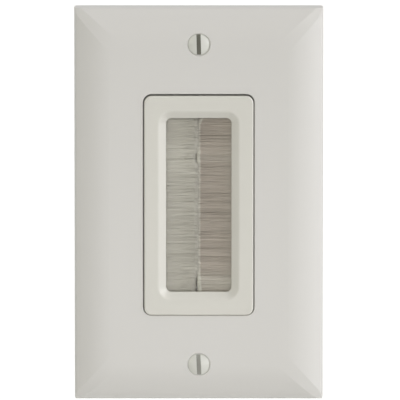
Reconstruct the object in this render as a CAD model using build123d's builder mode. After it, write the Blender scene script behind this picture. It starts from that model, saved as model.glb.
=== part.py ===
from math import radians, sin, sqrt, tan
import os

from build123d import *

os.makedirs("parts", exist_ok=True)

# A one-gang wall plate with a brush insert, in millimetres. X is to the viewer's right, Z is up and
# the front faces -Y. The origin is on the wall, midway between the two box screws. "Height" below
# means the distance in front of the wall.

# Screw spacings: the box screws' is the standard one, and the rest step out or in from it
box_screw_spacing = 83.34
plate_screw_step = 6.75
plate_end = 11.11
strap_end = 4.58
opening_step = 8.22

# Wall plate
plate_side = 20.65
plate_depth = 6.4
plate_wall = 1.9
edge_width = 10.5
edge_drop = 3.2
rim_draft = 0.4
rim_round = 1.0
corner_round = 0.7
hip_start = 2.0
hip_drop = 0.45
opening_width = 33.3
opening_corner = 2.5
opening_edge_round = 0.35
collar_wall = 1.6
collar_clearance = 0.15
rib_thickness = 1.2
boss_diameter = 6.2

# Screws that hold the plate to the strap, and the strap to the wall box
screw_diameter = 3.505
thread_clearance = 0.05
plate_screw_hole = 4.0
plate_screw_length = 12.7
oval_head_diameter = 6.6
oval_head_dome = 0.95
countersink_angle = 82
countersink_margin = 0.25
head_clearance = 0.05
box_screw_length = 25.4
pan_head_diameter = 6.9
pan_head_height = 1.9
pan_head_side = 0.9
neck_diameter = 2.8
neck_below_washer = 0.5
slot_width = 1.25
slot_depth = 1.2
upper_slot_tilt = 1.7
lower_slot_tilt = 2.7
tip_chamfer = 0.6
washer_diameter = 8.0
washer_thickness = 0.8

# Insert: strap, flange and raised bezel
strap_width = 25.0
strap_lift = 0.2
strap_thickness = 2.2
strap_corner = 2.0
flange_overlap = 2.4
bezel_gap = 0.28
insert_drop = 0.2
insert_proud = 0.4
bezel_edge_round = 0.5
window_corner = 1.6
bevel_width = 2.2
bevel_round = 1.2
throat_land = 1.0
box_slot_length = 6.5
box_slot_width = 4.0
counterbore_margin = 0.4
counterbore_depth = 0.6

# Strip brushes: a folded steel channel, a core wire and the bristles
brush_lip = 1.85
end_lip = 1.8
bezel_side_wall = 1.3
screw_land = 4.85
pocket_clearance = 0.2
channel_width = 3.2
channel_depth = 3.2
channel_wall = 0.5
channel_bend = 0.8
wire_diameter = 0.9
wire_clearance = 0.03
bristle_clearance = 0.05
lock_pitch = 1.0
lock_wander = 0.2
root_ridge = 0.08
tip_ridge = 0.22
tip_thickness = 1.7
left_tip_sink = 0.45
right_tip_sink = 0.85
seam_gap = 0.1
seam_shift = 0.35
tuft_pitch = 3.5
tuft_bulge = 0.1
wedge_depth = 1.5
wedge_height = 6.0
left_notch_depth = 0.3
right_notch_depth = 1.05
notch_height = 2.4

# Retainer behind the insert, and its four screws
retainer_thickness = 2.2
retainer_margin = 1.0
retainer_corner = 2.5
retainer_relief = 0.5
retainer_bevel = 0.8
press_clearance = 0.05
brace_height = 0.4
small_screw_diameter = 2.2
small_screw_length = 6.5
small_head_diameter = 4.0
small_head_height = 1.5
small_head_side = 0.7
small_screw_inset = 4.0
small_clearance_hole = 2.5
cross_width = 0.6
cross_length = 2.4
cross_depth = 0.9

# Places that follow from the sizes above
plate_screw_spacing = box_screw_spacing + 2 * plate_screw_step
plate_height = plate_screw_spacing + 2 * plate_end
plate_width = opening_width + 2 * plate_side
opening_height = box_screw_spacing - 2 * opening_step
rib_spacing = (opening_height + collar_wall) / 4
strap_height = plate_screw_spacing + 2 * strap_end
strap_front = strap_lift + strap_thickness
face_height = plate_depth + insert_proud
bezel_width = opening_width - 2 * bezel_gap
bezel_height = opening_height - 2 * bezel_gap
bezel_corner = opening_corner - bezel_gap
flange_width = opening_width + 2 * flange_overlap
flange_height = opening_height + 2 * flange_overlap
window_width = bezel_width - 2 * (brush_lip + channel_depth + pocket_clearance + bezel_side_wall)
window_height = bezel_height - 2 * (end_lip + pocket_clearance + screw_land)
channel_back = strap_lift + brace_height + press_clearance
channel_middle = channel_back + channel_width / 2
pocket_depth = channel_back + channel_width + pocket_clearance
bevel_depth = face_height - pocket_depth - throat_land
mouth = window_width / 2 + brush_lip
pocket_width = 2 * (mouth + channel_depth + pocket_clearance)
brush_length = window_height + 2 * end_lip
pocket_height = brush_length + 2 * pocket_clearance
fold_thickness = channel_width - 2 * channel_wall - 2 * bristle_clearance
wire_place = mouth + channel_depth - channel_wall - bristle_clearance - fold_thickness / 2
small_screw_x = pocket_width / 2 - small_screw_inset
small_screw_z = pocket_height / 2 + screw_land / 2
counterbore_floor = strap_front - counterbore_depth
retainer_back = strap_lift - retainer_thickness
cone_slope = tan(radians(countersink_angle / 2))
oval_rim = plate_depth - countersink_margin / cone_slope

# Section planes: width or height runs across the sketch, and height above the wall runs up it
across = Plane(origin=(0, 0, 0), x_dir=(1, 0, 0), z_dir=(0, 0, -1))
along = Plane(origin=(0, 0, 0), x_dir=(0, 0, 1), z_dir=(1, 0, 0))
wall = Plane.XZ
strap_back = wall.offset(strap_lift)
middle = Plane(origin=(0, 0, -insert_drop), x_dir=(1, 0, 0), z_dir=(0, -1, 0))
middle_back = middle.offset(strap_lift)
middle_across = Plane(origin=(0, 0, -insert_drop), x_dir=(1, 0, 0), z_dir=(0, 0, -1))
middle_along = Plane(origin=(0, 0, -insert_drop), x_dir=(0, 0, 1), z_dir=(1, 0, 0))


def save(piece, name):
    """Label a finished piece and write it to a STEP file of the same name."""
    piece.part.label = name
    export_step(piece.part, f"parts/{name}.step")


def plate_section(plane, half_span, skin):
    """Section of the plate: flat field, curved border and rim, drawn skin inside the outside."""
    arc_radius = (edge_width**2 + edge_drop**2) / (2 * edge_drop)
    flat = half_span - edge_width
    base = half_span - skin
    foot = base - rim_draft
    top = plate_depth - skin
    foot_height = plate_depth - arc_radius + sqrt((arc_radius - skin) ** 2 - (foot - flat) ** 2)
    with BuildSketch(plane) as section:
        with BuildLine():
            Polyline((0, 0), (base, 0), (foot, foot_height))
            TangentArc((flat, top), (foot, foot_height), tangent=(1, 0))
            Polyline((flat, top), (0, top))
            mirror(about=Plane.YZ)
        make_face()
        rims = section.vertices().filter_by(lambda v: abs(v.Y - foot_height) < 0.01)
        fillet(rims, rim_round)
    return section.sketch


def hip_section(side, up):
    """Section, along a corner's diagonal, of what is cut off to ease the hip of the border."""
    start = (side * (plate_width / 2 - edge_width), 0, up * (plate_height / 2 - edge_width))
    reach = edge_width * sqrt(2)
    foot = plate_depth - edge_drop - hip_drop
    with BuildSketch(Plane(origin=start, x_dir=(side, 0, up), z_dir=(up, 0, -side))) as section:
        with BuildLine():
            TangentArc((-hip_start, plate_depth), (reach, foot), tangent=(1, 0))
            Polyline(
                (reach, foot),
                (reach, plate_depth + hip_drop),
                (-hip_start, plate_depth + hip_drop),
                (-hip_start, plate_depth),
            )
        make_face()
    return section.sketch


# Wall plate: a thin moulding, thick at its collar, ribs and screw bosses
with BuildPart() as hollow:
    extrude(plate_section(across, plate_width / 2, plate_wall), amount=plate_height, both=True)
    extrude(
        plate_section(along, plate_height / 2, plate_wall),
        amount=plate_width,
        both=True,
        mode=Mode.INTERSECT,
    )
    with BuildSketch(wall.offset(strap_front + collar_clearance)):
        RectangleRounded(
            opening_width + 2 * collar_wall,
            opening_height + 2 * collar_wall,
            opening_corner + collar_wall,
        )
        with GridLocations(0, rib_spacing, 1, 5):
            Rectangle(plate_width, rib_thickness)
        with GridLocations(opening_width + collar_wall, 0, 2, 1):
            Rectangle(rib_thickness, plate_height)
        with Locations((0, plate_screw_spacing / 2), (0, -plate_screw_spacing / 2)):
            Circle(boss_diameter / 2)
    extrude(amount=plate_depth, mode=Mode.SUBTRACT)

with BuildPart() as wall_plate:
    extrude(plate_section(across, plate_width / 2, 0), amount=plate_height, both=True)
    extrude(
        plate_section(along, plate_height / 2, 0),
        amount=plate_width,
        both=True,
        mode=Mode.INTERSECT,
    )
    with BuildSketch(wall):
        RectangleRounded(plate_width, plate_height, corner_round)
    extrude(amount=plate_depth, mode=Mode.INTERSECT)
    for side, up in ((-1, -1), (-1, 1), (1, -1), (1, 1)):
        extrude(hip_section(side, up), amount=edge_width, both=True, mode=Mode.SUBTRACT)
    add(hollow.part, mode=Mode.SUBTRACT)
    with BuildSketch(wall):
        RectangleRounded(opening_width, opening_height, opening_corner)
    extrude(amount=plate_depth, mode=Mode.SUBTRACT)
    field = wall_plate.faces().sort_by(Axis.Y)[0]
    fillet(field.inner_wires()[0].edges(), opening_edge_round)
    with Locations(
        Plane(origin=(0, -plate_depth, plate_screw_spacing / 2), z_dir=(0, -1, 0)),
        Plane(origin=(0, -plate_depth, -plate_screw_spacing / 2), z_dir=(0, -1, 0)),
    ):
        CounterSinkHole(
            plate_screw_hole / 2,
            oval_head_diameter / 2 + countersink_margin + head_clearance,
            depth=plate_depth,
            counter_sink_angle=countersink_angle,
        )
save(wall_plate, "wall_plate")

# Insert frame: mounting strap, flange behind the plate's opening, and bezel with its window
with BuildPart() as insert_frame:
    with BuildSketch(strap_back):
        RectangleRounded(strap_width, strap_height, strap_corner)
        RectangleRounded(flange_width, flange_height, strap_corner)
    extrude(amount=strap_thickness)
    with BuildSketch(middle.offset(strap_front)):
        RectangleRounded(bezel_width, bezel_height, bezel_corner)
    extrude(amount=face_height - strap_front)
    bezel_face = insert_frame.faces().sort_by(Axis.Y)[0]
    fillet(bezel_face.edges(), bezel_edge_round)
    with BuildSketch(middle):
        RectangleRounded(window_width, window_height, window_corner)
    extrude(amount=face_height, mode=Mode.SUBTRACT)
    bezel_face = insert_frame.faces().sort_by(Axis.Y)[0]
    window_edges = bezel_face.inner_wires()[0].edges()
    chamfer(window_edges, bevel_width, bevel_depth, reference=bezel_face)
    bezel_face = insert_frame.faces().sort_by(Axis.Y)[0]
    fillet(bezel_face.inner_wires()[0].edges(), bevel_round)
    with BuildSketch(middle):
        Rectangle(pocket_width, pocket_height)
    extrude(amount=pocket_depth, mode=Mode.SUBTRACT)
    with BuildSketch(strap_back):
        with Locations((0, box_screw_spacing / 2), (0, -box_screw_spacing / 2)):
            SlotOverall(box_slot_length, box_slot_width)
        with Locations((0, plate_screw_spacing / 2), (0, -plate_screw_spacing / 2)):
            Circle(screw_diameter / 2 + thread_clearance)
    extrude(amount=strap_thickness, mode=Mode.SUBTRACT)
    with BuildSketch(wall.offset(strap_front)):
        with Locations((0, box_screw_spacing / 2), (0, -box_screw_spacing / 2)):
            SlotOverall(
                pan_head_diameter + box_slot_length - box_slot_width,
                pan_head_diameter + counterbore_margin,
            )
    extrude(amount=-counterbore_depth, mode=Mode.SUBTRACT)
    with BuildSketch(middle_back):
        with GridLocations(2 * small_screw_x, 2 * small_screw_z, 2, 2):
            Circle(small_screw_diameter / 2 + thread_clearance)
    extrude(amount=small_screw_length - retainer_thickness + thread_clearance, mode=Mode.SUBTRACT)
save(insert_frame, "insert_frame")

# Retainer: a frame that closes the brush pocket from behind and braces both channels
with BuildPart() as brush_retainer:
    with BuildSketch(middle_back):
        RectangleRounded(
            pocket_width + 2 * (bezel_side_wall + retainer_margin),
            pocket_height + 2 * screw_land,
            retainer_corner,
        )
    extrude(amount=-retainer_thickness)
    with BuildSketch(middle_back):
        with Locations((mouth + channel_depth / 2, 0), (-mouth - channel_depth / 2, 0)):
            Rectangle(channel_depth, brush_length)
    extrude(amount=brace_height)
    with BuildSketch(middle_back):
        RectangleRounded(
            window_width + 2 * retainer_relief,
            window_height + 2 * retainer_relief,
            window_corner + retainer_relief,
        )
        with GridLocations(2 * small_screw_x, 2 * small_screw_z, 2, 2):
            Circle(small_clearance_hole / 2)
    extrude(amount=-retainer_thickness, mode=Mode.SUBTRACT)
    rear_face = brush_retainer.faces().sort_by(Axis.Y)[-1]
    cable_way = rear_face.inner_wires().sort_by(lambda w: w.length)[-1]
    chamfer(cable_way.edges(), retainer_bevel)
save(brush_retainer, "brush_retainer")


def ridges(level, rise, count, wander, phase):
    """Zigzag along the brush: each lock of bristles rises from level to a crest and falls back."""
    pitch = brush_length / count
    points = [(-brush_length / 2, level)]
    for k in range(count):
        crest = pitch * (k + 0.5 + wander * sin(3.1 * k + phase)) - brush_length / 2
        foot = pitch * (k + 1 + wander * sin(2.4 * k + phase) * (k + 1 < count)) - brush_length / 2
        points.append((crest, level + rise * (0.65 + 0.35 * sin(1.7 * k + phase))))
        points.append((foot, level))
    return points


def mat_section(plane, centre, thickness, ridge, wander, phase):
    """Section of a bristle mat across its bristles: a row of locks, ridged in front and behind."""
    locks = round(brush_length / lock_pitch)
    front = ridges(centre + thickness / 2 - ridge, ridge, locks, wander, phase)
    back = ridges(centre - thickness / 2 + ridge, -ridge, locks, wander, phase)
    with BuildSketch(plane) as section:
        with BuildLine():
            Polyline(*front, *reversed(back), close=True)
        make_face()
    return section.sketch


def tip_line(side, place):
    """Distance from the middle to the bristles' tips: short at the top, and at the left's foot."""
    top = brush_length / 2 - end_lip
    notch = max(0, place - top + notch_height) / notch_height
    wedge = max(0, wedge_height - top - place) / wedge_height
    if side < 0:
        return seam_gap / 2 + seam_shift + left_notch_depth * notch + wedge_depth * wedge
    return seam_gap / 2 - seam_shift + right_notch_depth * notch


def tip_outline(side):
    """Outline, seen from the front, that the tips are trimmed to: a row of shallow arcs."""
    tufts = round(brush_length / tuft_pitch)
    step = brush_length / tufts
    root = side * (mouth + channel_depth)
    places = [-brush_length / 2 + k * step for k in range(tufts + 1)]
    reaches = [tip_line(side, place) for place in places]
    with BuildSketch(middle) as outline:
        with BuildLine():
            for k in range(tufts):
                bulge = tuft_bulge * (0.6 + 0.4 * sin(2.1 * k + side))
                half_way = (places[k] + places[k + 1]) / 2
                tip = (reaches[k] + reaches[k + 1]) / 2 + tuft_bulge - bulge
                ThreePointArc(
                    (side * (reaches[k] + tuft_bulge), places[k]),
                    (side * tip, half_way),
                    (side * (reaches[k + 1] + tuft_bulge), places[k + 1]),
                )
            Polyline(
                (side * (reaches[0] + tuft_bulge), places[0]),
                (root, places[0]),
                (root, places[-1]),
                (side * (reaches[-1] + tuft_bulge), places[-1]),
            )
        make_face()
    return outline.sketch


# Strip brushes: channel, core wire and bristles, the left pair the mirror of the right
for side, word, tip_sink in ((-1, "left", left_tip_sink), (1, "right", right_tip_sink)):
    with BuildPart() as brush_channel:
        with BuildSketch(middle_across) as channel_section:
            with Locations((side * (mouth + channel_depth / 2), channel_middle)):
                Rectangle(channel_depth, channel_width)
            web_side = channel_section.vertices().group_by(Axis.X)[0 if side < 0 else -1]
            fillet(web_side, channel_bend)
            with Locations((side * (mouth + (channel_depth - channel_wall) / 2), channel_middle)):
                Rectangle(
                    channel_depth - channel_wall,
                    channel_width - 2 * channel_wall,
                    mode=Mode.SUBTRACT,
                )
        extrude(amount=brush_length / 2, both=True)
    save(brush_channel, f"{word}_brush_channel")

    with BuildPart() as core_wire:
        with BuildSketch(middle_across):
            with Locations((side * wire_place, channel_middle)):
                Circle(wire_diameter / 2)
        extrude(amount=brush_length / 2, both=True)
    save(core_wire, f"{word}_core_wire")

    with BuildPart() as bristles:
        root_plane = middle_along.offset(side * mouth)
        root = mat_section(root_plane, channel_middle, fold_thickness, root_ridge, 0, side)
        tip_middle = channel_middle - tip_sink
        seam = middle_along.offset(-seam_shift)
        tips = mat_section(seam, tip_middle, tip_thickness, tip_ridge, lock_wander, side)
        loft(sections=[root, tips], ruled=True)
        extrude(tip_outline(side), amount=face_height, both=True, mode=Mode.INTERSECT)
        with BuildSketch(middle_across) as fold:
            with Locations((side * (mouth + wire_place) / 2, channel_middle)):
                Rectangle(wire_place - mouth, fold_thickness)
            with Locations((side * wire_place, channel_middle)):
                Circle(fold_thickness / 2)
                Circle(wire_diameter / 2 + wire_clearance, mode=Mode.SUBTRACT)
        extrude(amount=brush_length / 2, both=True)
    save(bristles, f"{word}_bristles")


def pan_head(bearing, diameter, height, side_height, outward):
    """Half section of a pan head on a bearing plane, domed on the side of outward."""
    top = bearing + outward * height
    edge = bearing + outward * side_height
    Polyline((0, top), (0, bearing), (diameter / 2, bearing), (diameter / 2, edge))
    TangentArc((0, top), (diameter / 2, edge), tangent=(1, 0))


def shank(start, end, diameter, chamfer_length):
    """Half section of a shank along the axis, with a blunt point at its end."""
    shoulder = end + chamfer_length * (1 if start > end else -1)
    flat = diameter / 2 - chamfer_length / 2
    Polyline((0, start), (diameter / 2, start), (diameter / 2, shoulder), (flat, end), (0, end))
    Line((0, end), (0, start))


def turning_plane(x, z):
    """Plane with its upright line on a screw's axis, for the half section that is turned."""
    return Plane(origin=(x, 0, z), x_dir=(1, 0, 0), z_dir=(0, 0, -1))


# Plate screws, box screws and the box screws' washers, above and below
for sign, word, slot_tilt in ((1, "upper", upper_slot_tilt), (-1, "lower", lower_slot_tilt)):
    screw_z = sign * plate_screw_spacing / 2
    cone_depth = (oval_head_diameter - screw_diameter) / 2 / cone_slope
    with BuildPart() as plate_screw:
        with BuildSketch(turning_plane(0, screw_z)):
            with BuildLine():
                Polyline(
                    (0, oval_rim + oval_head_dome),
                    (0, oval_rim - cone_depth),
                    (screw_diameter / 2, oval_rim - cone_depth),
                    (oval_head_diameter / 2, oval_rim),
                )
                TangentArc(
                    (0, oval_rim + oval_head_dome),
                    (oval_head_diameter / 2, oval_rim),
                    tangent=(1, 0),
                )
            make_face()
            with BuildLine():
                tip = oval_rim - plate_screw_length
                shank(oval_rim - cone_depth, tip, screw_diameter, tip_chamfer)
            make_face()
        revolve(axis=Axis((0, 0, screw_z), (0, -1, 0)))
        with BuildSketch(Plane((0, -oval_rim - oval_head_dome, screw_z), (1, 0, 0), (0, -1, 0))):
            Rectangle(slot_width, 2 * oval_head_diameter, rotation=slot_tilt)
        extrude(amount=-slot_depth, mode=Mode.SUBTRACT)
    save(plate_screw, f"{word}_plate_screw")

    box_z = sign * box_screw_spacing / 2
    neck_end = strap_lift - washer_thickness - neck_below_washer
    with BuildPart() as box_screw:
        with BuildSketch(turning_plane(0, box_z)):
            with BuildLine():
                pan_head(counterbore_floor, pan_head_diameter, pan_head_height, pan_head_side, 1)
            make_face()
            with Locations((0, neck_end)):
                Rectangle(
                    neck_diameter / 2,
                    counterbore_floor - neck_end,
                    align=(Align.MIN, Align.MIN),
                )
            with BuildLine():
                shank(neck_end, counterbore_floor - box_screw_length, screw_diameter, tip_chamfer)
            make_face()
        revolve(axis=Axis((0, 0, box_z), (0, -1, 0)))
        head_top = counterbore_floor + pan_head_height
        with BuildSketch(Plane((0, -head_top, box_z), (1, 0, 0), (0, -1, 0))):
            Rectangle(2 * pan_head_diameter, slot_width)
        extrude(amount=-slot_depth, mode=Mode.SUBTRACT)
    save(box_screw, f"{word}_box_screw")

    with BuildPart() as screw_washer:
        with BuildSketch(strap_back):
            with Locations((0, box_z)):
                Circle(washer_diameter / 2)
                Circle(neck_diameter / 2 + thread_clearance, mode=Mode.SUBTRACT)
        extrude(amount=-washer_thickness)
    save(screw_washer, f"{word}_screw_washer")

# Retainer screws: small pan heads seated on the back of the retainer
for up, height_word in ((1, "upper"), (-1, "lower")):
    for out, side_word in ((-1, "left"), (1, "right")):
        place_x = out * small_screw_x
        place_z = up * small_screw_z - insert_drop
        tip = retainer_back + small_screw_length
        with BuildPart() as retainer_screw:
            with BuildSketch(turning_plane(place_x, place_z)):
                with BuildLine():
                    pan_head(
                        retainer_back, small_head_diameter, small_head_height, small_head_side, -1
                    )
                make_face()
                with BuildLine():
                    shank(retainer_back, tip, small_screw_diameter, tip_chamfer)
                make_face()
            revolve(axis=Axis((place_x, 0, place_z), (0, -1, 0)))
            head_top = small_head_height - retainer_back
            with BuildSketch(Plane((place_x, head_top, place_z), (1, 0, 0), (0, 1, 0))):
                Rectangle(cross_length, cross_width)
                Rectangle(cross_width, cross_length)
            extrude(amount=-cross_depth, mode=Mode.SUBTRACT)
        save(retainer_screw, f"retainer_screw_{height_word}_{side_word}")
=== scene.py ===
import math

import bmesh
import bpy
import numpy as np
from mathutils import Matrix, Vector


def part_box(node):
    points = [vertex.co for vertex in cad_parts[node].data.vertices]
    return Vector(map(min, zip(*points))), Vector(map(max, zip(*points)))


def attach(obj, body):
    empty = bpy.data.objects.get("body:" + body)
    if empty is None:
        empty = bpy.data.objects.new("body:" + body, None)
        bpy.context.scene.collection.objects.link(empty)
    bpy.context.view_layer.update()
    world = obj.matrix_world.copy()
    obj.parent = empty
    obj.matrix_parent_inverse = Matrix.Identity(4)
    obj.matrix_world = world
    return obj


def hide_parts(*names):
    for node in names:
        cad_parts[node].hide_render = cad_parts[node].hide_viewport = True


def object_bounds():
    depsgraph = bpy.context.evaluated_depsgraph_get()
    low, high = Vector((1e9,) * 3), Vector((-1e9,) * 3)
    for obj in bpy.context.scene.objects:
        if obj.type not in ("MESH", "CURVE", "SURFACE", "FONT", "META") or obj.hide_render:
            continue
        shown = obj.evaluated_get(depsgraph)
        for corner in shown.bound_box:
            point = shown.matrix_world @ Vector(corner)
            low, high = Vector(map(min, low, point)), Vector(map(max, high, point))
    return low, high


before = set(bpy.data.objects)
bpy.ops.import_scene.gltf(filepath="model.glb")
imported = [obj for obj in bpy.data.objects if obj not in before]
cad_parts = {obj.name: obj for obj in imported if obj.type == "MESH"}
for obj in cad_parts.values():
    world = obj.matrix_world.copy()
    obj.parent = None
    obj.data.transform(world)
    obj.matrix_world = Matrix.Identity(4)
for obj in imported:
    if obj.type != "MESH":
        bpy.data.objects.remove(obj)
cad_low, cad_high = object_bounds()

MM = 0.001

# The view: the plate seen square on from a little above, through a lens so long that its sides
# stay parallel. The middle of the plate falls just left of the middle of the picture.
view_elevation = math.radians(8)
view_distance = 2.6
photo_width = 400
pixels_per_metre = 3330
aim = Vector((0.37 * MM, 0, 0.64 * MM))

camera_data = bpy.data.cameras.new("camera")
camera = bpy.data.objects.new("camera", camera_data)
bpy.context.scene.collection.objects.link(camera)
back = Vector((0, -math.cos(view_elevation), math.sin(view_elevation)))
camera.location = aim + back * view_distance
camera.rotation_mode = "QUATERNION"
camera.rotation_quaternion = (-back).to_track_quat("-Z", "Y")
camera_data.sensor_width = 36
camera_data.lens = camera_data.sensor_width * pixels_per_metre * view_distance / photo_width
camera_data.clip_start = 0.05
camera_data.clip_end = 20
bpy.context.scene.camera = camera
bpy.context.scene.view_settings.view_transform = "Standard"


# The studio: an even white surround, a broad soft key light that rakes the plate from the right,
# a weak warm one from the left, and one from straight above, which mostly reaches the top border.
def srgb(code):
    """Linear colour of an sRGB hex value: each channel by the sRGB curve, straight near black."""
    channels = [int(code[k : k + 2], 16) / 255 for k in (1, 3, 5)]
    return [c / 12.92 if c <= 0.04045 else ((c + 0.055) / 1.055) ** 2.4 for c in channels] + [1]


def add(tree, kind, sockets=None, **settings):
    """Adds a node.

    sockets fills inputs, by name or number, with a value or from the output that feeds them.
    settings fills properties, and also inputs by name.
    """
    node = tree.nodes.new(kind)
    for key, value in settings.items():
        socket = key.replace("_", " ")
        if socket in node.inputs:
            node.inputs[socket].default_value = value
        else:
            setattr(node, key, value)
    for key, value in (sockets or {}).items():
        if isinstance(value, bpy.types.NodeSocket):
            tree.links.new(value, node.inputs[key])
        else:
            node.inputs[key].default_value = value
    return node


def material_tree(name):
    """An empty node material: the material, its tree and its output node."""
    material = bpy.data.materials.new(name)
    material.use_nodes = True
    material.node_tree.nodes.clear()
    return material, material.node_tree, add(material.node_tree, "ShaderNodeOutputMaterial")


def soft_light(name, level, softness, side, height, colour="#FFFFFF"):
    """A sun that lights a matt white face turned to it to the level, as wide as the softness.

    Angles are in degrees: side is to the right of straight ahead, and height is above it.
    """
    data = bpy.data.lights.new(name, "SUN")
    data.energy = level * math.pi
    data.angle = math.radians(softness)
    data.color = srgb(colour)[:3]
    light = bpy.data.objects.new(name, data)
    bpy.context.scene.collection.objects.link(light)
    side, height = math.radians(side), math.radians(height)
    ahead = Vector((math.sin(side), -math.cos(side), 0))
    towards = ahead * math.cos(height) + Vector((0, 0, math.sin(height)))
    light.rotation_mode = "QUATERNION"
    light.rotation_quaternion = towards.to_track_quat("Z", "Y")


soft_light("key", 0.83, softness=50, side=72, height=10)
soft_light("fill_left", 0.15, softness=40, side=-50, height=10, colour="#FFFCDE")
soft_light("from_above", 0.15, softness=35, side=0, height=84)

# A low panel in front, which lifts the plate's lower half and the parts that face down
panel_level = 0.145
panel_width = 300 * MM
panel_height = 50 * MM
panel_distance = 220 * MM
panel_rise = 5 * MM
panel_place = Vector((0.0, -panel_distance, cad_low.z + panel_rise))
panel_data = bpy.data.lights.new("low_panel", "AREA")
panel_data.shape = "RECTANGLE"
panel_data.size = panel_width
panel_data.size_y = panel_height
panel_data.energy = panel_level * math.pi**2 * panel_place.length_squared
panel = bpy.data.objects.new("low_panel", panel_data)
panel.location = panel_place
panel.rotation_mode = "QUATERNION"
panel.rotation_quaternion = panel_place.to_track_quat("Z", "Y")
panel.visible_camera = False
bpy.context.scene.collection.objects.link(panel)

# The surround: white where it is seen, directly, through glass or in a mirror, and dimmer as light
surround_level = 0.39
world = bpy.data.worlds.new("studio")
bpy.context.scene.world = world
world.use_nodes = True
tree = world.node_tree
tree.nodes.clear()
ray = add(tree, "ShaderNodeLightPath")
seen = add(
    tree,
    "ShaderNodeMath",
    {0: ray.outputs["Is Camera Ray"], 1: ray.outputs["Is Transmission Ray"]},
    operation="MAXIMUM",
)
seen_or_mirrored = add(
    tree,
    "ShaderNodeMath",
    {0: seen.outputs[0], 1: ray.outputs["Is Glossy Ray"]},
    operation="MAXIMUM",
)
level = add(
    tree,
    "ShaderNodeMapRange",
    {"Value": seen_or_mirrored.outputs[0]},
    To_Min=surround_level,
    To_Max=1.0,
)
white = add(tree, "ShaderNodeBackground", {"Strength": level.outputs[0]}, Color=srgb("#FFFFFF"))
add(tree, "ShaderNodeOutputWorld", {"Surface": white.outputs[0]})

# The floor: matt white card a little under the plate. Where the camera sees it, it is lifted to
# the white of the surround, and the plate's soft shadow stays on it.
floor_gap = 20 * MM
floor_half = 6.0
floor_lift = 0.4
floor_height = cad_low.z - floor_gap
corners = np.array([(-1, -1), (1, -1), (1, 1), (-1, 1)]) * floor_half
floor_mesh = bpy.data.meshes.new("floor")
floor_mesh.from_pydata([(x, y, floor_height) for x, y in corners], [], [(0, 1, 2, 3)])
floor = bpy.data.objects.new("floor", floor_mesh)
bpy.context.scene.collection.objects.link(floor)
white_card, tree, output = material_tree("white_card")
card = add(tree, "ShaderNodeBsdfDiffuse", Color=srgb("#F4F4F2"))
ray = add(tree, "ShaderNodeLightPath")
lift = add(
    tree, "ShaderNodeMapRange", {"Value": ray.outputs["Is Camera Ray"]}, To_Max=floor_lift
)
glow = add(tree, "ShaderNodeEmission", {"Strength": lift.outputs[0]}, Color=srgb("#FFFFFF"))
both = add(tree, "ShaderNodeAddShader", {0: card.outputs[0], 1: glow.outputs[0]})
tree.links.new(both.outputs[0], output.inputs["Surface"])
floor_mesh.materials.append(white_card)


# Brush channels and core wires: strips of galvanised steel folded to a U round the bristles, and
# the straight steel wires that the bristles are folded round. Both are pressed into the insert.
def dress(node, material):
    """Gives a CAD node its material."""
    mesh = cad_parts[node].data
    mesh.materials.clear()
    mesh.materials.append(material)


gloss_swing = 0.1
clouds_per_patch = 4


def zinc_coated_steel(name, light_colour, dark_colour, roughness, patch):
    """Steel under zinc: its tone wanders between two colours in patches, its gloss more finely."""
    material, tree, output = material_tree(name)
    place = add(tree, "ShaderNodeTexCoord")
    patches = add(
        tree, "ShaderNodeTexVoronoi", {"Vector": place.outputs["Object"]}, Scale=1 / patch
    )
    tone = add(
        tree,
        "ShaderNodeMix",
        {"Factor": patches.outputs["Color"], 6: srgb(dark_colour), 7: srgb(light_colour)},
        data_type="RGBA",
    )
    clouds = add(
        tree,
        "ShaderNodeTexNoise",
        {"Vector": place.outputs["Object"]},
        Scale=clouds_per_patch / patch,
        Detail=2.0,
    )
    gloss = add(
        tree,
        "ShaderNodeMapRange",
        {"Value": clouds.outputs[0]},
        To_Min=roughness - gloss_swing,
        To_Max=roughness + gloss_swing,
    )
    steel = add(
        tree,
        "ShaderNodeBsdfPrincipled",
        {"Base Color": tone.outputs[2], "Roughness": gloss.outputs[0]},
        Metallic=1.0,
    )
    tree.links.new(steel.outputs[0], output.inputs["Surface"])
    return material


# Hot-dip galvanised steel strip: grey, in dull spangles about 1.5 mm across
galvanised_steel = zinc_coated_steel("galvanised_steel", "#B4B7B9", "#8E9294", 0.42, 1.5 * MM)
for word in ("left", "right"):
    dress(f"{word}_brush_channel", galvanised_steel)
    dress(f"{word}_core_wire", galvanised_steel)


# Bristles: nylon filaments, each folded round its core wire so that both ends reach the middle.
# They lie in uneven locks, and both mats slope back to the seam, where their trimmed tips meet.
def quads(points, ring):
    """Quads of a stack of grids, from each point to the next row and the next column.

    points has a grid, a row and a column axis. With ring, the last column joins the first.
    """
    index = np.arange(points[..., 0].size).reshape(points.shape[:3])
    here, after = index[:, :, :-1], index[:, :, 1:]
    if ring:
        here, after = index, np.roll(index, -1, axis=2)
    corners = (here[:, :-1], after[:, :-1], after[:, 1:], here[:, 1:])
    return np.stack(corners, axis=-1).reshape(-1, 4)


def new_piece(name, points, faces, material, replaced):
    """A smooth-shaded mesh piece that rides on the body and stands for a CAD node."""
    mesh = bpy.data.meshes.new(name)
    mesh.from_pydata(points.reshape(-1, 3), [], faces)
    mesh.shade_smooth()
    mesh.materials.append(material)
    piece = bpy.data.objects.new(name, mesh)
    bpy.context.scene.collection.objects.link(piece)
    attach(piece, "root")
    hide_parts(replaced)
    return piece


# The filaments, their locks and how far both stray
filament_count = 1950
filament_width = 0.165 * MM
tip_width_share = 0.75
lock_width = 0.9 * MM
lock_width_spread = 0.6
lock_dip = 0.03 * MM
lock_rise = 0.01 * MM
lock_drift = 0.05 * MM
lock_pinch = 0.06
filament_drift = 0.25 * MM

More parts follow.
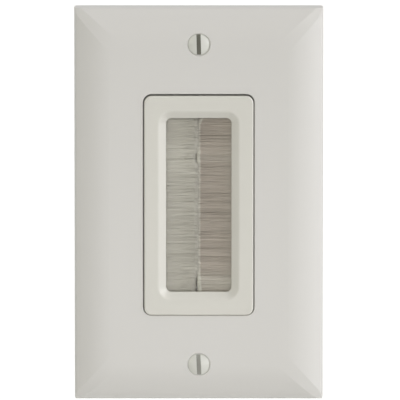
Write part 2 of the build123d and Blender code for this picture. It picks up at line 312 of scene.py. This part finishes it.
# The mats: their thickness and slow waves, and the legs' rows as shares of the way to the tips
mat_at_tips = 1.7 * MM
end_margin = 0.12 * MM
waver_share = 0.08
waver_lengths = (1.3 * MM, 2.1 * MM)
swell_height = 2.6 * MM
mouth_share = 0.12
front_rows = {
    "left": np.array([1.0, 0.9, 0.76, 0.58, 0.4, mouth_share]),
    "right": np.array([1.0, 0.945, 0.92, 0.66, 0.42, mouth_share]),
}
rear_rows = np.array([1.0, 0.72, 0.36, mouth_share])
bend_rows = np.radians([90, 0, -90])

# The seam: where the tips meet, and the notch above, the gap and the wedge below in its line
seam_overlap = 0.12 * MM
seam_shift = 0.35 * MM
tip_scatter = 0.1 * MM
end_lip = 1.8 * MM
notch_height = 2.4 * MM
gap_place = 14.0 * MM
gap_height = 2.0 * MM
wedge_height = 6.0 * MM
short_of_hindmost = 0.35
short_of_rear_leg = 0.25
# Painted light at the channel's mouth, which lifts the shadow the bezel casts on the mat
root_painted_light = 0.3


def bell(place, middle, height):
    """A smooth bump: e to the power of less the square of the distance over the height."""
    return np.exp(-(((place - middle) / height) ** 2))


def square_tubes(path, half_widths):
    """Rings of four points round each row of each path.

    The points lie half way between the path's normal, which is square to its step across and out
    from the wall, and the upright axis, to both sides of each.
    """
    steps = np.gradient(path[..., :2], axis=1)
    steps /= np.linalg.norm(steps, axis=-1, keepdims=True)
    normal = np.stack([-steps[..., 1], steps[..., 0], np.zeros(steps.shape[:2])], axis=-1)
    upright = np.array([0, 0, 1])
    angles = np.radians(45 + 90 * np.arange(4))[:, None]
    rings = np.cos(angles) * normal[:, :, None] + np.sin(angles) * upright
    return path[:, :, None] + rings * half_widths[:, None, None]


def bristle_mat(
    side,
    word,
    material,
    seed,
    tip_sink,
    swell_place,
    swell_depth,
    curl_share,
    curl_height,
    curl_painted_highlight,
    lock_tones,
    filament_tones,
    pale_and_painted_light_patches,
    notch_depth,
    gap_depth,
    wedge_depth,
):
    """A mat of folded filaments, each a four-sided tube along one path.

    Going out from the wire by a share f of the leg, a filament keeps its radius round the wire
    up to the channel's mouth. From there it eases to its own layer of the mat, by the mean of a
    straight slope and one with soft ends. The mat sinks towards the tips, and the filament's
    place along the strip drifts with its lock by f squared. Over the curl's share of the leg the
    tips turn forward again in a straight slope. The sink wavers along the strip with two slow
    sines and changes by a bell round the swell's place. The notch and the wedge shorten the
    filaments in a straight slope towards an end of the strip, and the gap by a bell. The
    patches, each a place, a height and an amount, are where the bristles are coloured paler,
    partly as paler tone and partly as painted light that lifts the shade under the window's top
    edge. The curled tips are painted paler too, a painted highlight where they turn to the light,
    and the bristles at the channel's mouth get painted light against the bezel's shadow.
    """
    rng = np.random.default_rng(seed)
    wire_low, wire_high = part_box(f"{word}_core_wire")
    wire_x = abs(wire_low.x + wire_high.x) / 2
    wire_height = -(wire_low.y + wire_high.y) / 2
    wire_radius = (wire_high.y - wire_low.y) / 2
    mat_low, mat_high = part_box(f"{word}_bristles")
    low, high = mat_low.z + end_margin, mat_high.z - end_margin
    outer = max(abs(mat_low.x), abs(mat_high.x)) - wire_x - filament_width
    inner = wire_radius + filament_width

    # Each filament's place, lock and layer, and what it has from its lock
    place = np.arange(filament_count) + rng.uniform(0, 1, filament_count)
    place = low + (high - low) * place / filament_count
    widths = rng.uniform(1 - lock_width_spread, 1 + lock_width_spread, filament_count) * lock_width
    edges = low + np.cumsum(widths)
    lock = np.searchsorted(edges, place)
    lock_middle = edges[lock] - lock_width / 2
    layer = rng.uniform(0, 1, filament_count)
    radius = inner + (outer - inner) * layer
    drift = rng.normal(0, lock_drift, filament_count)[lock]
    lift = rng.uniform(-lock_dip, lock_rise, filament_count)[lock]
    tone = rng.normal(0, lock_tones, filament_count)[lock]
    tone += 0.5 + rng.normal(0, filament_tones, filament_count)
    waver = sum(np.sin(place / length + k * seed) for k, length in enumerate(waver_lengths, 1))
    swelling = bell(place, swell_place, swell_height)
    sink = tip_sink * (1 + waver_share * waver) + swell_depth * swelling

    # Where its two tips end
    top = high - end_lip + end_margin
    foot = low + end_lip - end_margin
    notch = np.clip((place - top + notch_height) / notch_height, 0, 1)
    wedge = np.clip((foot + wedge_height - place) / wedge_height, 0, 1)
    short = notch_depth * notch + wedge_depth * wedge
    short += gap_depth * bell(place, gap_place, gap_height)
    reach = rng.normal(0, tip_scatter, filament_count) - seam_overlap - side * seam_shift
    front_tip = wire_x - reach - short * (short_of_hindmost + (1 - short_of_hindmost) * layer)
    rear_tip = wire_x - reach - short * short_of_rear_leg

    # The path: the front leg from its tip, the bend round the wire, and the rear leg to its tip
    legs = []
    for tip, face, rows in ((front_tip, 1, front_rows[word]), (rear_tip, -1, rear_rows)):
        f = np.outer(np.ones(filament_count), rows)
        ease = np.clip((f - mouth_share) / (1 - mouth_share), 0, 1)
        soft = ease * ease * (3 - 2 * ease)
        ease = soft * 0.5 + ease * 0.5
        own = face * layer[:, None] * (mat_at_tips - filament_width) / 2
        height = face * radius[:, None] * (1 - ease) + own * ease
        turned_up = curl_height * np.clip((f - 1 + curl_share) / curl_share, 0, 1)
        height = wire_height - sink[:, None] * ease + height + lift[:, None] * ease**2 + turned_up
        along = wire_x - f * tip[:, None]
        pull = (lock_middle - place)[:, None] * lock_pinch * ease * (face > 0)
        own_drift = rng.normal(0, filament_drift, filament_count)[:, None]
        sideways = place[:, None] + pull + (drift[:, None] + own_drift) * f**2
        legs.append(np.stack([along, height, sideways], axis=-1))
    turn = np.outer(radius, np.ones(bend_rows.size))
    bend = [
        wire_x + turn * np.cos(bend_rows),
        wire_height + turn * np.sin(bend_rows),
        np.outer(place, np.ones(bend_rows.size)),
    ]
    path = np.concatenate([legs[0], np.stack(bend, axis=-1), legs[1][:, ::-1]], axis=1)
    path[..., 2] = np.clip(path[..., 2], low, high)

    # The mesh: the left mat is the right one mirrored, so their faces go round opposite ways
    row_count = path.shape[1]
    half_widths = np.full(row_count, filament_width / 2)
    half_widths[[0, -1]] *= tip_width_share
    tubes = square_tubes(path, half_widths)
    points = np.stack([side * tubes[..., 0], -tubes[..., 1], tubes[..., 2]], axis=-1)
    index = np.arange(points[..., 0].size).reshape(points.shape[:3])
    faces = np.concatenate([quads(points, ring=True), index[:, 0, ::-1], index[:, -1]])
    if side > 0:
        faces = faces[:, ::-1]
    node = f"{word}_bristles"
    piece = new_piece(f"{word}_bristle_filaments", points, faces, material, node)

    # How light each point is, and how much paler tone and painted light it has, for the material
    pale_and_painted_light = np.zeros((filament_count, row_count))
    for middle, patch_height, amount in pale_and_painted_light_patches:
        pale_and_painted_light += amount * bell(place, middle, patch_height)[:, None]
    # Painted highlight: the curled tips are painted paler where they turn to the light
    pale_and_painted_light[:, :2] += curl_painted_highlight
    # Painted light at the channel's mouth, against the bezel's shadow
    pale_and_painted_light[:, front_rows[word].size - 1] += root_painted_light
    for name, values in (("tone", np.outer(tone, np.ones(row_count))), ("pale_and_painted_light", pale_and_painted_light)):
        shade = piece.data.attributes.new(name, "FLOAT", "POINT")
        shade.data.foreach_set("value", np.repeat(np.clip(values, 0, 1), 4).astype(np.float32))


def filament_nylon(name, light_colour, dark_colour):
    """Crimped nylon filament: milky, each a little lighter or darker, and paler by an attribute
    that holds paler tone and painted light.
    """
    material, tree, output = material_tree(name)
    tone = add(tree, "ShaderNodeAttribute", attribute_name="tone")
    colour = add(
        tree,
        "ShaderNodeMix",
        {"Factor": tone.outputs["Fac"], 6: srgb(dark_colour), 7: srgb(light_colour)},
        data_type="RGBA",
    )
    pale_and_painted_light = add(tree, "ShaderNodeAttribute", attribute_name="pale_and_painted_light")
    # Towards a pale colour: paler tone in places, and painted light and a painted highlight
    # elsewhere
    with_pale_and_painted_light = add(
        tree,
        "ShaderNodeMix",
        {"Factor": pale_and_painted_light.outputs["Fac"], 6: colour.outputs[2], 7: srgb("#E2E0D5")},
        data_type="RGBA",
    )
    nylon = add(
        tree,
        "ShaderNodeBsdfPrincipled",
        {"Base Color": with_pale_and_painted_light.outputs[2]},
        Roughness=0.38,
        IOR=1.53,
    )
    tree.links.new(nylon.outputs[0], output.inputs["Surface"])
    return material


bristle_mat(
    -1,
    "left",
    filament_nylon("nylon_filament_left", "#D2CFC5", "#B3AFA4"),
    seed=11,
    tip_sink=0.45 * MM,
    swell_place=14.6 * MM,
    swell_depth=0.4 * MM,
    curl_share=0.24,
    curl_height=0.25 * MM,
    curl_painted_highlight=0.0,
    lock_tones=0.05,
    filament_tones=0.05,
    # The second patch is painted light, lifting the shade under the window's top edge
    pale_and_painted_light_patches=((13.5 * MM, 3.4 * MM, 0.28), (26.5 * MM, 1.5 * MM, 0.15)),
    notch_depth=-0.15 * MM,
    gap_depth=0.6 * MM,
    wedge_depth=1.3 * MM,
)
bristle_mat(
    1,
    "right",
    filament_nylon("nylon_filament_right", "#CBC1B6", "#A59C91"),
    seed=12,
    tip_sink=0.85 * MM,
    swell_place=-23.5 * MM,
    swell_depth=-0.6 * MM,
    curl_share=0.065,
    curl_height=0.45 * MM,
    # The curled tips are painted paler, a painted highlight where they face the light
    curl_painted_highlight=0.68,
    lock_tones=0.1,
    filament_tones=0.08,
    pale_and_painted_light_patches=((14.0 * MM, 1.8 * MM, 0.15), (-24.5 * MM, 3.0 * MM, 0.45)),
    notch_depth=1.3 * MM,
    gap_depth=0.0,
    wedge_depth=0.45 * MM,
)


# Insert and retainer: injection-moulded nylon, light almond. The insert has the strap, the flange
# and the raised bezel with its window, and the retainer traps the two brushes from behind.
def moulded_nylon(name, colour, roughness):
    """Nylon moulded in a finely sparked tool: an even tone, a soft sheen and a grain of 0.5 mm."""
    material, tree, output = material_tree(name)
    place = add(tree, "ShaderNodeTexCoord")
    grain = add(
        tree,
        "ShaderNodeTexNoise",
        {"Vector": place.outputs["Object"]},
        Scale=1 / (0.5 * MM),
        Detail=3.0,
        Roughness=0.6,
    )
    bump = add(
        tree, "ShaderNodeBump", {"Height": grain.outputs[0]}, Strength=0.12, Distance=0.02 * MM
    )
    plastic = add(
        tree,
        "ShaderNodeBsdfPrincipled",
        {"Normal": bump.outputs[0]},
        Base_Color=srgb(colour),
        Roughness=roughness,
        IOR=1.53,
    )
    tree.links.new(plastic.outputs[0], output.inputs["Surface"])
    return material


dress("insert_frame", moulded_nylon("moulded_nylon_insert", "#D1CFC8", 0.40))
dress("brush_retainer", moulded_nylon("moulded_nylon_retainer", "#CCCAC1", 0.46))


# Retainer screws: small self-tapping screws of zinc-plated steel with a cross recess in a pan
# head, turned into the insert from behind. The zinc is bright and cold, clouded in 0.8 mm patches.
zinc_plated_steel = zinc_coated_steel("zinc_plated_steel", "#C3C8CC", "#A6ACB1", 0.30, 0.8 * MM)
thread_rows = 12
ridge_peak = 1.25
ridge_slope = 3.2
cone_slope = 0.5


def shank(side_steps, angles, first, start, tip, major, depth, pitch, chamfer):
    """Radii and heights of the rows below a screw's head, down to the middle of its tip.

    side_steps has the radius and the height of each row before the thread. The thread is a ridge
    that climbs one pitch each turn: a trapezium of the phase, which is the height over the pitch
    less the turn. It grows from the core over one pitch from the start, and is cut to a cone over
    the chamfer at the tip.
    """
    heights = np.append(np.arange(first, tip, -pitch / thread_rows), tip)
    phase = (heights[:, None] / pitch - angles[None] / (2 * np.pi)) % 1
    ridge = np.clip(ridge_peak - np.abs(phase - 0.5) * ridge_slope, 0, 1)
    grown = np.clip(np.abs(heights - start) / pitch, 0, 1)[:, None]
    cone = major - chamfer * cone_slope + np.abs(heights - tip)[:, None] * cone_slope
    radii = np.minimum(major - depth + depth * ridge * grown, cone)
    step_radii, step_heights = np.array(side_steps).T
    ones = np.ones(angles.size)
    radii = np.concatenate([np.outer(step_radii, ones), radii, np.zeros((1, angles.size))])
    heights = np.concatenate([step_heights, heights, [tip]])
    return radii, np.outer(heights, ones)


merge_distance = 0.0005 * MM


def close_and_shade(piece, crease):
    """Merges points that fall together and turns every face outwards.

    Edges that turn by more than the crease, in degrees, are drawn crisp.
    """
    shell = bmesh.new()
    shell.from_mesh(piece.data)
    bmesh.ops.remove_doubles(shell, verts=shell.verts, dist=merge_distance)
    bmesh.ops.recalc_face_normals(shell, faces=shell.faces)
    shell.to_mesh(piece.data)
    shell.free()
    piece.data.set_sharp_from_angle(angle=math.radians(crease))


def dome(radius, rim_radius, rise):
    """Height above the rim of a dome: the arc that rises by rise from its rim to its middle."""
    sphere = (rim_radius**2 + rise**2) / (2 * rise)
    return rise - sphere + np.sqrt(np.maximum(sphere**2 - radius**2, 0))


small_head_radius = 2.0 * MM
small_head_side = 0.7 * MM
small_head_height = 1.5 * MM
small_shank_radius = 1.1 * MM
small_thread_depth = 0.3 * MM
small_pitch = 1.0 * MM
small_chamfer = 0.6 * MM
small_lead = small_pitch / 8
small_columns = 36
small_head_rows = 22
cross_half_width = 0.3 * MM
cross_half_length = 1.2 * MM
cross_depth = 0.9 * MM
cross_taper = 0.15 * MM


def retainer_screw(node):
    """A pan-head screw as one grid of rows and angles, from the head's middle to the tip.

    The head is a dome less a cross, which is the larger of two tapered troughs at right angles.
    """
    box_low, box_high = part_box(node)
    middle_x, middle_z = (box_low.x + box_high.x) / 2, (box_low.z + box_high.z) / 2
    head_top, tip = box_high.y, box_low.y
    bearing = head_top - small_head_height
    angles = np.linspace(0, 2 * np.pi, small_columns, endpoint=False)
    head_rings = np.linspace(0, small_head_radius, small_head_rows)
    head_radii = np.outer(head_rings, np.ones(small_columns))
    across, up = head_radii * np.cos(angles), head_radii * np.sin(angles)

    def trough(along, over):
        """Depth of one arm, from 0 at its edge to 1 past the taper."""
        inside = np.minimum(cross_half_length - np.abs(along), cross_half_width - np.abs(over))
        return np.clip(inside / cross_taper + 0.5, 0, 1)

    cross = cross_depth * np.maximum(trough(across, up), trough(up, across))
    rise = small_head_height - small_head_side
    head_heights = bearing + small_head_side + dome(head_radii, small_head_radius, rise) - cross
    radii, heights = shank(
        ((small_head_radius, bearing), (small_shank_radius - small_thread_depth, bearing)),
        angles,
        first=bearing - small_lead,
        start=bearing,
        tip=tip,
        major=small_shank_radius,
        depth=small_thread_depth,
        pitch=small_pitch,
        chamfer=small_chamfer,
    )
    radii = np.concatenate([head_radii, radii])
    heights = np.concatenate([head_heights, heights])
    points = [middle_x + radii * np.cos(angles), heights, middle_z + radii * np.sin(angles)]
    points = np.stack(points, axis=-1)[None]
    faces = quads(points, ring=True)
    piece = new_piece(
        f"{node}_threaded", points, faces, zinc_plated_steel, node
    )
    close_and_shade(piece, crease=40)


for word in ("upper_left", "upper_right", "lower_left", "lower_right"):
    retainer_screw(f"retainer_screw_{word}")


# Washers: punched rings of vulcanised fibre, which keep the box screws from falling out of the
# strap. The fibre is a dull brick red with darker flecks of 0.6 mm.
vulcanised_fibre, tree, output = material_tree("vulcanised_fibre")
place = add(tree, "ShaderNodeTexCoord")
flecks = add(
    tree,
    "ShaderNodeTexNoise",
    {"Vector": place.outputs["Object"]},
    Scale=1 / (0.6 * MM),
    Detail=4.0,
)
tone = add(
    tree,
    "ShaderNodeMix",
    {"Factor": flecks.outputs[0], 6: srgb("#6B3A2C"), 7: srgb("#955543")},
    data_type="RGBA",
)
fibre = add(
    tree, "ShaderNodeBsdfPrincipled", {"Base Color": tone.outputs[2]}, Roughness=0.62, IOR=1.5
)
tree.links.new(fibre.outputs[0], output.inputs["Surface"])
for word in ("upper", "lower"):
    dress(f"{word}_screw_washer", vulcanised_fibre)


# Box screws: zinc-plated steel with slotted pan heads, which fix the strap to the wall box. A
# neck behind the washer keeps them captive. Their machine thread is also the plate screws'.
machine_radius = 1.7525 * MM
machine_thread_depth = 0.39 * MM
machine_pitch = 0.794 * MM
machine_chamfer = 0.6 * MM
slot_half_width = 0.625 * MM
slot_depth = 1.2 * MM
head_columns = 21
head_rows = 13
wall_clearance = 1.2


def slotted_head(rim_radius, rim, rise, floor_radius, tilt):
    """Head of a slotted screw: a grid of columns across the slot and rows along it.

    A column at a distance a from the axis runs along its chord, of half length the square root
    of the rim's radius squared less a squared. Both walls of the slot are two columns at one
    distance, on the dome and on the floor. Returns the places and heights, column by column.
    """
    across = rim_radius * np.sin(np.linspace(-np.pi / 2, np.pi / 2, head_columns))
    keep = np.abs(across) > slot_half_width * wall_clearance
    walls = np.array([-1, -1, 0, 1, 1]) * slot_half_width
    left, right = across[keep & (across < 0)], across[keep & (across > 0)]
    across = np.concatenate([left, walls, right])
    low = np.zeros(across.size, dtype=bool)
    low[left.size + 1 : left.size + 4] = True
    radius = np.where(low, floor_radius, rim_radius)[:, None]
    rows = np.linspace(-1, 1, head_rows)
    along = rows * np.sqrt(np.maximum(radius**2 - across[:, None] ** 2, 0))
    across = across[:, None] * np.ones(head_rows)
    heights = rim + dome(np.hypot(across, along), rim_radius, rise)
    heights = np.where(low[:, None], rim + rise - slot_depth, heights)
    turned_x = across * math.cos(tilt) - along * math.sin(tilt)
    turned_z = across * math.sin(tilt) + along * math.cos(tilt)
    return np.stack([turned_x, turned_z, heights], axis=-1)


def slotted_screw(node, head, side_steps, start, material):
    """A slotted screw: its head's grid, then rows from the head's border down to the tip.

    The border is the head's first row followed by its last row backwards. Each further row keeps
    the border's angles, at the radius and height that the side and the thread give.
    """
    box_low, box_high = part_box(node)
    middle_x, middle_z = (box_low.x + box_high.x) / 2, (box_low.z + box_high.z) / 2
    border = np.concatenate([head[:, 0], head[::-1, -1]])
    angles = np.arctan2(border[:, 1], border[:, 0])
    radii, heights = shank(
        side_steps,
        angles,
        first=start,
        start=start,
        tip=-box_high.y,
        major=machine_radius,
        depth=machine_thread_depth,
        pitch=machine_pitch,
        chamfer=machine_chamfer,
    )
    side = np.stack([radii * np.cos(angles), radii * np.sin(angles), heights], axis=-1)
    side = np.concatenate([border[None], side])

    def placed(local):
        """Points in the frame, from places across the screw and heights in front of the wall."""
        return np.stack([middle_x + local[..., 0], -local[..., 2], middle_z + local[..., 1]], -1)

    head_points, side_points = placed(head)[None], placed(side)[None]
    head_faces = quads(head_points, ring=False)
    side_faces = quads(side_points, ring=True) + head_points[..., 0].size
    points = np.concatenate([head_points.reshape(-1, 3), side_points.reshape(-1, 3)])
    faces = np.concatenate([head_faces, side_faces])
    piece = new_piece(f"{node}_threaded", points, faces, material, node)
    close_and_shade(piece, crease=35)


pan_radius = 3.45 * MM
pan_side = 0.9 * MM
pan_height = 1.9 * MM
neck_radius = 1.4 * MM
neck_end = -1.1 * MM
box_slot_tilt = math.radians(90)
for word in ("upper", "lower"):
    node = f"{word}_box_screw"
    head_top = -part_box(node)[0].y
    bearing = head_top - pan_height
    slotted_screw(
        node,
        slotted_head(
            pan_radius, bearing + pan_side, pan_height - pan_side, pan_radius, box_slot_tilt
        ),
        ((pan_radius, bearing), (neck_radius, bearing), (neck_radius, neck_end)),
        neck_end,
        zinc_plated_steel,
    )

# Wall plate: one injection moulding of light almond nylon, with a softly curved border. It lies
# over the insert and the edge of the hole in the wall, and two screws fix it to the strap.
dress("wall_plate", moulded_nylon("moulded_nylon_plate", "#D1CFCC", 0.42))

# Plate screws: steel, with oval heads painted to match the plate and bare plated threads. Low on
# the heads, in the slots and round the rims, the paint is darkened as painted shade, more on the
# upper one.
paint_edge = 0.05 * MM


def painted_steel(name, painted_shade_level, painted_shade_from, painted_shade_to, paint_end):
    """Glossy paint over steel, in soft waves of 0.8 mm.

    Painted shade, in the slot and round the rim, comes in between two heights, and the paint stops
    at a third. The heights are taken in front of the wall, so they count against the object's own
    Y.
    """
    material, tree, output = material_tree(name)
    place = add(tree, "ShaderNodeTexCoord")
    axes = add(tree, "ShaderNodeSeparateXYZ", {"Vector": place.outputs["Object"]})
    painted_shade = add(
        tree,
        "ShaderNodeMapRange",
        {"Value": axes.outputs["Y"]},
        From_Min=-painted_shade_from,
        From_Max=-painted_shade_to,
        To_Max=painted_shade_level,
    )
    bare = add(
        tree,
        "ShaderNodeMapRange",
        {"Value": axes.outputs["Y"]},
        From_Min=-paint_end - paint_edge,
        From_Max=-paint_end + paint_edge,
    )
    # Painted shade: the paint darkens towards #7A796E low on the head, in the slot and round the
    # rim
    with_painted_shade = add(
        tree,
        "ShaderNodeMix",
        {"Factor": painted_shade.outputs[0], 6: srgb("#D0D0CA"), 7: srgb("#7A796E")},
        data_type="RGBA",
    )
    colour = add(
        tree,
        "ShaderNodeMix",
        {"Factor": bare.outputs[0], 6: with_painted_shade.outputs[2], 7: srgb("#B8BDC1")},
        data_type="RGBA",
    )
    waves = add(
        tree, "ShaderNodeTexNoise", {"Vector": place.outputs["Object"]}, Scale=1 / (0.8 * MM)
    )
    bump = add(
        tree, "ShaderNodeBump", {"Height": waves.outputs[0]}, Strength=0.15, Distance=0.02 * MM
    )
    paint = add(
        tree,
        "ShaderNodeBsdfPrincipled",
        {"Base Color": colour.outputs[2], "Metallic": bare.outputs[0], "Normal": bump.outputs[0]},
        Roughness=0.18,
        IOR=1.5,
    )
    tree.links.new(paint.outputs[0], output.inputs["Surface"])
    return material


oval_radius = 3.3 * MM
oval_rise = 0.95 * MM
half_countersink = math.radians(41)
slot_tilts = {"upper": math.radians(1.7), "lower": math.radians(2.7)}
# How dark the painted shade gets on each head, and how far above the rim it starts
painted_shade_levels = {"upper": 1.0, "lower": 0.55}
painted_shade_band = 0.22 * MM
for word in ("upper", "lower"):
    node = f"{word}_plate_screw"
    head_top = -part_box(node)[0].y
    rim = head_top - oval_rise
    slot_floor = head_top - slot_depth
    floor_radius = oval_radius - (rim - slot_floor) * math.tan(half_countersink)
    cone_end = rim - (oval_radius - machine_radius) / math.tan(half_countersink)
    slotted_screw(
        node,
        slotted_head(oval_radius, rim, oval_rise, floor_radius, slot_tilts[word]),
        ((machine_radius, cone_end), (machine_radius - machine_thread_depth, cone_end)),
        cone_end,
        painted_steel(
            f"painted_steel_{word}",
            painted_shade_levels[word],
            rim + painted_shade_band,
            slot_floor,
            cone_end + oval_rise,
        ),
    )
